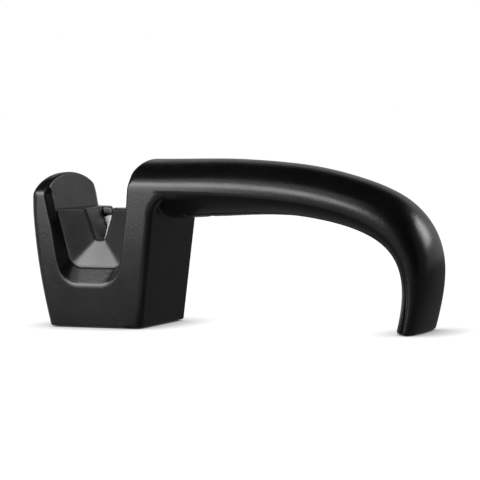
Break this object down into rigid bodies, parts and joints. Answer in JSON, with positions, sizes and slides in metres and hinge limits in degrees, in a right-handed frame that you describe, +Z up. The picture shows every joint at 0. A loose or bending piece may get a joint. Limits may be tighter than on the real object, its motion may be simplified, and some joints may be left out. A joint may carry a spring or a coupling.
{
  "type": "knife sharpener",
  "caption": "Hand-held knife sharpener: a notched head with crossed ceramic rods in a V guide, and a bridge handle that curves down to the table.",
  "frame": {"origin": "on the table, under the middle of the object's box", "axes": "+X from the head along the handle to its end, +Y from the front of the head to its back, +Z up"},
  "size_m": [0.1922, 0.051, 0.0779],
  "materials": {
    "shell": "black moulded plastic with a fine sandblast grain",
    "cover": "black moulded plastic, smoother than the shell",
    "guide": "black moulded plastic, satin",
    "ceramic": "ground off-white ceramic",
    "rubber": "matt black rubber",
    "screw_steel": "zinc-plated steel"
  },
  "bodies": {
    "root": {"housing": "shell", "handle_cover": "cover", "base_plate": "cover", "handle_foot": "rubber", "guide_front": "guide", "guide_rear": "guide", "guide_screw_front": "screw_steel", "guide_screw_rear": "screw_steel", "base_foot_front_left": "rubber", "base_foot_front_right": "rubber", "base_foot_rear_left": "rubber", "base_foot_rear_right": "rubber", "base_screw_left": "screw_steel", "base_screw_right": "screw_steel", "base_screw_front": "screw_steel", "base_screw_rear": "screw_steel", "cover_screw_inner": "screw_steel", "cover_screw_outer": "screw_steel"},
    "rod_front": {"ceramic_rod_front": "ceramic"},
    "rod_rear": {"ceramic_rod_rear": "ceramic"}
  },
  "joints": [
    {"name": "rod_front_turn", "type": "hinge", "parent": "root", "child": "rod_front", "pos_m": [-0.06598, -0.005, 0.0352], "axis": [0.279, 0, 0.9603], "continuous": true},
    {"name": "rod_rear_turn", "type": "hinge", "parent": "root", "child": "rod_rear", "pos_m": [-0.06598, 0.005, 0.0352], "axis": [-0.279, 0, 0.9603], "continuous": true}
  ]
}
